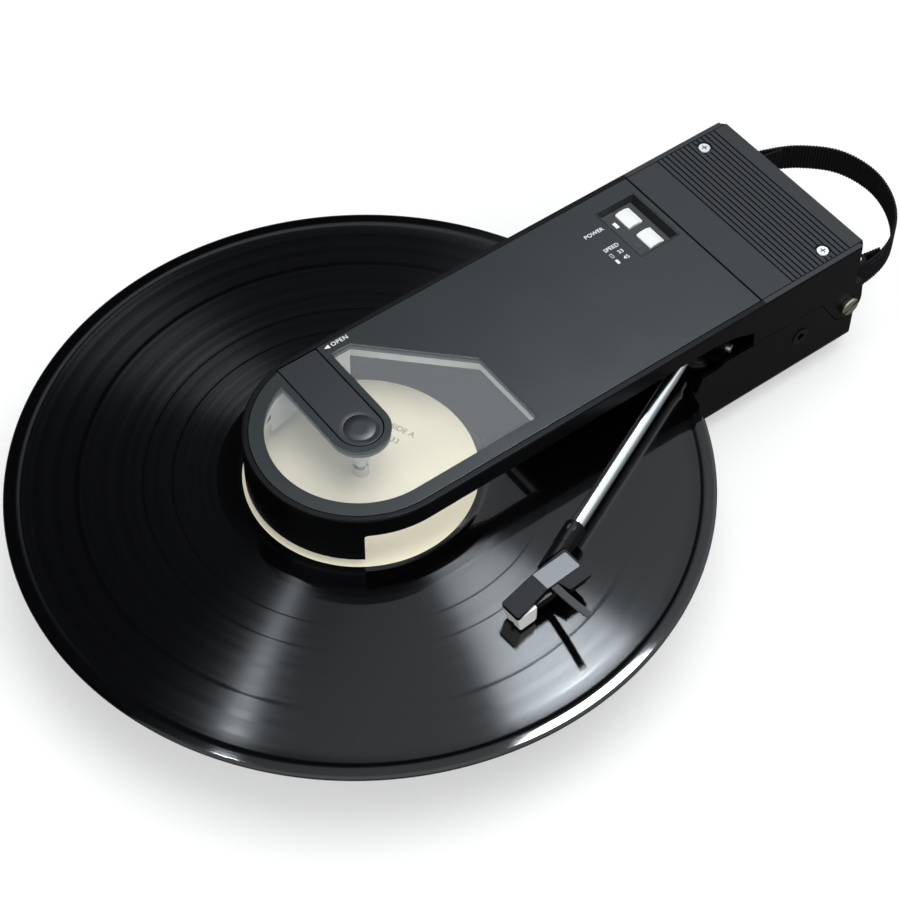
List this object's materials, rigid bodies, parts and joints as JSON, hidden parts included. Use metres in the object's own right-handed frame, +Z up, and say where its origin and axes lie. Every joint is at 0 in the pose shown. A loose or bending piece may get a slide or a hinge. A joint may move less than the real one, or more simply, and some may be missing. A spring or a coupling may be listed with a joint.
{
  "type": "portable turntable",
  "caption": "Compact portable turntable with a hinged windowed lid, a straight tonearm at its side and a large disc clamped on a small platter.",
  "frame": {"origin": "under the middle of the whole, strap and disc included, on the surface it stands on", "axes": "+X from the platter's end towards the lid hinge and strap, +Y away from the tonearm, +Z up"},
  "size_m": [0.4449, 0.3014, 0.07],
  "materials": {
    "casing_black": "fine satin",
    "casing_grey": "satin",
    "rubber_black": "matt",
    "steel": "plain",
    "bronze": "plain",
    "battery_blue": "shrink sleeve",
    "board_green": "coated board",
    "bright_metal": "polished",
    "webbing_black": "ribbed webbing",
    "vinyl_black": "grooved, glossy",
    "label_cream": "printed paper",
    "panel_gloss": "smooth and reflecting",
    "window_clear": "clear, lightly tinted",
    "liner_light": "satin",
    "trim_grey": "satin, ribbed",
    "bezel_dark": "satin",
    "button_white": "smooth",
    "light_white": "diffusing",
    "lever_dark": "smooth",
    "arm_dark": "satin black",
    "arm_bright": "satin",
    "plate_grey": "satin",
    "lift_grey": "satin",
    "cartridge_black": "smooth"
  },
  "bodies": {
    "base": {"base_lower_shell": "casing_black", "base_upper_shell": "casing_black", "rubber_feet": "rubber_black", "case_screws": "steel", "platter_bush": "bronze", "drive_motor": "steel", "motor_bracket": "steel", "bracket_screws": "steel", "drive_belt": "rubber_black", "battery_pack": "battery_blue", "main_circuit": "board_green", "line_jack": "bezel_dark", "charge_socket": "steel", "hinge_screws": "bright_metal", "strap_pins": "steel", "hand_strap": "webbing_black", "arm_pedestal": "casing_grey", "arm_bush": "bronze"},
    "platter": {"platter": "casing_grey", "platter_mat": "rubber_black", "spindle": "bright_metal", "record_disc": "vinyl_black", "record_label": "label_cream"},
    "pulley": {"motor_pulley": "bronze"},
    "lid": {"lid_shell": "casing_black", "top_panel": "panel_gloss", "window_pane": "window_clear", "window_well": "liner_light", "rear_trim": "trim_grey", "trim_screws": "bright_metal", "switch_bezel": "bezel_dark", "power_light": "light_white", "speed_light": "light_white", "switch_board": "board_green", "lever_pin": "steel", "lever_spring": "steel"},
    "power_key": {"power_button": "button_white"},
    "speed_key": {"speed_button": "button_white"},
    "lever": {"clamp_lever": "lever_dark"},
    "clamp": {"clamp_cone": "liner_light"},
    "swing": {"arm_yoke": "arm_dark", "pivot_screws": "bright_metal"},
    "tonearm": {"arm_carrier": "arm_dark", "arm_tube": "arm_bright", "counterweight": "arm_dark", "arm_collar": "arm_dark", "collar_screw": "steel", "headshell": "arm_dark", "headshell_plate": "plate_grey", "finger_lift": "lift_grey", "cartridge": "cartridge_black", "stylus_holder": "button_white", "stylus_tip": "steel"}
  },
  "joints": [
    {"name": "lid_hinge", "type": "hinge", "parent": "base", "child": "lid", "pos_m": [0.16368, 0, 0.0338], "axis": [0, 1, 0], "range_deg": [0, 30]},
    {"name": "platter_spin", "type": "hinge", "parent": "base", "child": "platter", "pos_m": [-0.07172, 0, 0.0407], "axis": [0, 0, 1], "continuous": true},
    {"name": "motor_spin", "type": "hinge", "parent": "base", "child": "pulley", "pos_m": [-0.00772, 0, 0.0287], "axis": [0, 0, 1], "continuous": true},
    {"name": "clamp_spin", "type": "hinge", "parent": "lever", "child": "clamp", "pos_m": [-0.07172, 0, 0.0527], "axis": [0, 0, 1], "continuous": true},
    {"name": "release_lever", "type": "hinge", "parent": "lid", "child": "lever", "pos_m": [-0.07172, 0.022, 0.0668], "axis": [-1, 0, 0], "range_deg": [0, 3.5], "stiffness_Nm_per_rad": 1, "springref_deg": -2.86},
    {"name": "tonearm_swing", "type": "hinge", "parent": "base", "child": "swing", "pos_m": [0.08778, -0.0325, 0.0407], "axis": [0, 0, 1], "range_deg": [-25.8, 18.6]},
    {"name": "tonearm_lift", "type": "hinge", "parent": "swing", "child": "tonearm", "pos_m": [0.08778, -0.0325, 0.0487], "axis": [-0.4115, 0.9114, 0], "range_deg": [0, 1.2]},
    {"name": "power_press", "type": "slide", "parent": "lid", "child": "power_key", "axis": [0, 0, -1], "range_m": [0, 0.0008], "stiffness_N_per_m": 300, "springref_m": -0.001},
    {"name": "speed_press", "type": "slide", "parent": "lid", "child": "speed_key", "axis": [0, 0, -1], "range_m": [0, 0.0008], "stiffness_N_per_m": 300, "springref_m": -0.001}
  ],
  "couplings": [
    {"joint": "motor_spin", "follows": "platter_spin", "ratio": 9.5},
    {"joint": "clamp_spin", "follows": "platter_spin", "ratio": 1}
  ]
}
